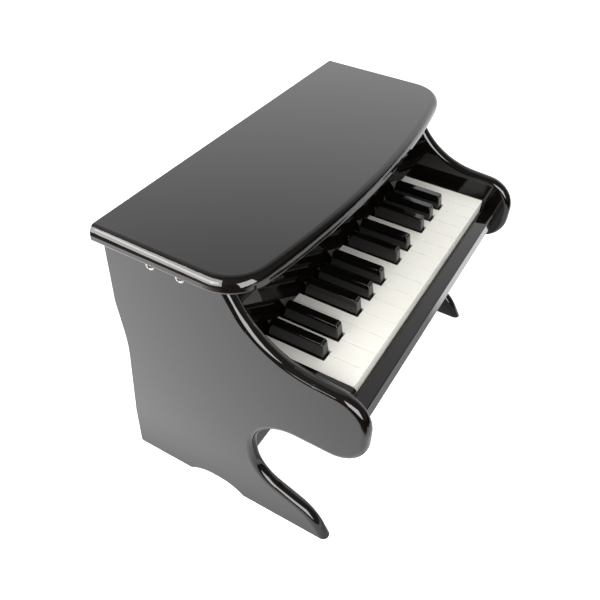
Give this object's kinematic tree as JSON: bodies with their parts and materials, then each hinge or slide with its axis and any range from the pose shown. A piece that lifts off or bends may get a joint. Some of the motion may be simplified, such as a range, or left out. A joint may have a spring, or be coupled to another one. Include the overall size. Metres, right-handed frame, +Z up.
{
  "type": "toy piano",
  "caption": "Small upright toy piano with curved side panels, a bow-fronted lid and a short keyboard whose keys strike tone rods.",
  "frame": {"origin": "on the floor, under the middle of the overall box", "axes": "+X to the treble end of the keyboard, +Y from the player to the back, +Z up"},
  "size_m": [0.414, 0.256, 0.2959],
  "materials": {
    "black_lacquer": "gloss black lacquer",
    "bare_wood": "bare sawn",
    "back_board": "black painted board, satin",
    "white_key_plastic": "satin gloss",
    "black_key_plastic": "satin gloss",
    "comb_plastic": "moulded",
    "felt": "pressed felt",
    "rod_steel": "drawn",
    "cast_block": "as cast",
    "screw_steel": "zinc plated"
  },
  "bodies": {
    "case": {"left_side": "black_lacquer", "right_side": "black_lacquer", "lid": "black_lacquer", "fallboard": "black_lacquer", "key_slip": "black_lacquer", "left_key_block": "black_lacquer", "right_key_block": "black_lacquer", "lower_front_board": "black_lacquer", "keybed": "bare_wood", "top_brace": "bare_wood", "left_back_batten": "bare_wood", "right_back_batten": "bare_wood", "rest_rail": "bare_wood", "tone_rail": "bare_wood", "back_panel": "back_board", "key_comb": "comb_plastic", "front_stop_felt": "felt", "rest_felt": "felt", "key_pivot_rod": "rod_steel", "tone_rods": "rod_steel", "tone_block": "cast_block", "side_screws": "screw_steel", "lid_screws": "screw_steel", "back_panel_screws": "screw_steel", "tone_block_screws": "screw_steel"},
    "white_key_01": {"white_key_01": "white_key_plastic"},
    "white_key_02": {"white_key_02": "white_key_plastic"},
    "white_key_03": {"white_key_03": "white_key_plastic"},
    "white_key_04": {"white_key_04": "white_key_plastic"},
    "white_key_05": {"white_key_05": "white_key_plastic"},
    "white_key_06": {"white_key_06": "white_key_plastic"},
    "white_key_07": {"white_key_07": "white_key_plastic"},
    "white_key_08": {"white_key_08": "white_key_plastic"},
    "white_key_09": {"white_key_09": "white_key_plastic"},
    "white_key_10": {"white_key_10": "white_key_plastic"},
    "white_key_11": {"white_key_11": "white_key_plastic"},
    "white_key_12": {"white_key_12": "white_key_plastic"},
    "white_key_13": {"white_key_13": "white_key_plastic"},
    "white_key_14": {"white_key_14": "white_key_plastic"},
    "white_key_15": {"white_key_15": "white_key_plastic"},
    "black_key_01": {"black_key_01": "black_key_plastic"},
    "black_key_02": {"black_key_02": "black_key_plastic"},
    "black_key_03": {"black_key_03": "black_key_plastic"},
    "black_key_04": {"black_key_04": "black_key_plastic"},
    "black_key_05": {"black_key_05": "black_key_plastic"},
    "black_key_06": {"black_key_06": "black_key_plastic"},
    "black_key_07": {"black_key_07": "black_key_plastic"},
    "black_key_08": {"black_key_08": "black_key_plastic"},
    "black_key_09": {"black_key_09": "black_key_plastic"},
    "black_key_10": {"black_key_10": "black_key_plastic"}
  },
  "joints": [
    {"name": "white_key_01_press", "type": "hinge", "parent": "case", "child": "white_key_01", "pos_m": [0, 0.0098, 0.19], "axis": [1, 0, 0], "range_deg": [0, 3.17], "stiffness_Nm_per_rad": 0.12, "springref_deg": -20.05},
    {"name": "white_key_02_press", "type": "hinge", "parent": "case", "child": "white_key_02", "pos_m": [0, 0.0098, 0.19], "axis": [1, 0, 0], "range_deg": [0, 3.17], "stiffness_Nm_per_rad": 0.12, "springref_deg": -20.05},
    {"name": "white_key_03_press", "type": "hinge", "parent": "case", "child": "white_key_03", "pos_m": [0, 0.0098, 0.19], "axis": [1, 0, 0], "range_deg": [0, 3.17], "stiffness_Nm_per_rad": 0.12, "springref_deg": -20.05},
    {"name": "white_key_04_press", "type": "hinge", "parent": "case", "child": "white_key_04", "pos_m": [0, 0.0098, 0.19], "axis": [1, 0, 0], "range_deg": [0, 3.17], "stiffness_Nm_per_rad": 0.12, "springref_deg": -20.05},
    {"name": "white_key_05_press", "type": "hinge", "parent": "case", "child": "white_key_05", "pos_m": [0, 0.0098, 0.19], "axis": [1, 0, 0], "range_deg": [0, 3.17], "stiffness_Nm_per_rad": 0.12, "springref_deg": -20.05},
    {"name": "white_key_06_press", "type": "hinge", "parent": "case", "child": "white_key_06", "pos_m": [0, 0.0098, 0.19], "axis": [1, 0, 0], "range_deg": [0, 3.17], "stiffness_Nm_per_rad": 0.12, "springref_deg": -20.05},
    {"name": "white_key_07_press", "type": "hinge", "parent": "case", "child": "white_key_07", "pos_m": [0, 0.0098, 0.19], "axis": [1, 0, 0], "range_deg": [0, 3.17], "stiffness_Nm_per_rad": 0.12, "springref_deg": -20.05},
    {"name": "white_key_08_press", "type": "hinge", "parent": "case", "child": "white_key_08", "pos_m": [0, 0.0098, 0.19], "axis": [1, 0, 0], "range_deg": [0, 3.17], "stiffness_Nm_per_rad": 0.12, "springref_deg": -20.05},
    {"name": "white_key_09_press", "type": "hinge", "parent": "case", "child": "white_key_09", "pos_m": [0, 0.0098, 0.19], "axis": [1, 0, 0], "range_deg": [0, 3.17], "stiffness_Nm_per_rad": 0.12, "springref_deg": -20.05},
    {"name": "white_key_10_press", "type": "hinge", "parent": "case", "child": "white_key_10", "pos_m": [0, 0.0098, 0.19], "axis": [1, 0, 0], "range_deg": [0, 3.17], "stiffness_Nm_per_rad": 0.12, "springref_deg": -20.05},
    {"name": "white_key_11_press", "type": "hinge", "parent": "case", "child": "white_key_11", "pos_m": [0, 0.0098, 0.19], "axis": [1, 0, 0], "range_deg": [0, 3.17], "stiffness_Nm_per_rad": 0.12, "springref_deg": -20.05},
    {"name": "white_key_12_press", "type": "hinge", "parent": "case", "child": "white_key_12", "pos_m": [0, 0.0098, 0.19], "axis": [1, 0, 0], "range_deg": [0, 3.17], "stiffness_Nm_per_rad": 0.12, "springref_deg": -20.05},
    {"name": "white_key_13_press", "type": "hinge", "parent": "case", "child": "white_key_13", "pos_m": [0, 0.0098, 0.19], "axis": [1, 0, 0], "range_deg": [0, 3.17], "stiffness_Nm_per_rad": 0.12, "springref_deg": -20.05},
    {"name": "white_key_14_press", "type": "hinge", "parent": "case", "child": "white_key_14", "pos_m": [0, 0.0098, 0.19], "axis": [1, 0, 0], "range_deg": [0, 3.17], "stiffness_Nm_per_rad": 0.12, "springref_deg": -20.05},
    {"name": "white_key_15_press", "type": "hinge", "parent": "case", "child": "white_key_15", "pos_m": [0, 0.0098, 0.19], "axis": [1, 0, 0], "range_deg": [0, 3.17], "stiffness_Nm_per_rad": 0.12, "springref_deg": -20.05},
    {"name": "black_key_01_press", "type": "hinge", "parent": "case", "child": "black_key_01", "pos_m": [0, 0.0098, 0.19], "axis": [1, 0, 0], "range_deg": [0, 3.17], "stiffness_Nm_per_rad": 0.12, "springref_deg": -20.05},
    {"name": "black_key_02_press", "type": "hinge", "parent": "case", "child": "black_key_02", "pos_m": [0, 0.0098, 0.19], "axis": [1, 0, 0], "range_deg": [0, 3.17], "stiffness_Nm_per_rad": 0.12, "springref_deg": -20.05},
    {"name": "black_key_03_press", "type": "hinge", "parent": "case", "child": "black_key_03", "pos_m": [0, 0.0098, 0.19], "axis": [1, 0, 0], "range_deg": [0, 3.17], "stiffness_Nm_per_rad": 0.12, "springref_deg": -20.05},
    {"name": "black_key_04_press", "type": "hinge", "parent": "case", "child": "black_key_04", "pos_m": [0, 0.0098, 0.19], "axis": [1, 0, 0], "range_deg": [0, 3.17], "stiffness_Nm_per_rad": 0.12, "springref_deg": -20.05},
    {"name": "black_key_05_press", "type": "hinge", "parent": "case", "child": "black_key_05", "pos_m": [0, 0.0098, 0.19], "axis": [1, 0, 0], "range_deg": [0, 3.17], "stiffness_Nm_per_rad": 0.12, "springref_deg": -20.05},
    {"name": "black_key_06_press", "type": "hinge", "parent": "case", "child": "black_key_06", "pos_m": [0, 0.0098, 0.19], "axis": [1, 0, 0], "range_deg": [0, 3.17], "stiffness_Nm_per_rad": 0.12, "springref_deg": -20.05},
    {"name": "black_key_07_press", "type": "hinge", "parent": "case", "child": "black_key_07", "pos_m": [0, 0.0098, 0.19], "axis": [1, 0, 0], "range_deg": [0, 3.17], "stiffness_Nm_per_rad": 0.12, "springref_deg": -20.05},
    {"name": "black_key_08_press", "type": "hinge", "parent": "case", "child": "black_key_08", "pos_m": [0, 0.0098, 0.19], "axis": [1, 0, 0], "range_deg": [0, 3.17], "stiffness_Nm_per_rad": 0.12, "springref_deg": -20.05},
    {"name": "black_key_09_press", "type": "hinge", "parent": "case", "child": "black_key_09", "pos_m": [0, 0.0098, 0.19], "axis": [1, 0, 0], "range_deg": [0, 3.17], "stiffness_Nm_per_rad": 0.12, "springref_deg": -20.05},
    {"name": "black_key_10_press", "type": "hinge", "parent": "case", "child": "black_key_10", "pos_m": [0, 0.0098, 0.19], "axis": [1, 0, 0], "range_deg": [0, 3.17], "stiffness_Nm_per_rad": 0.12, "springref_deg": -20.05}
  ]
}
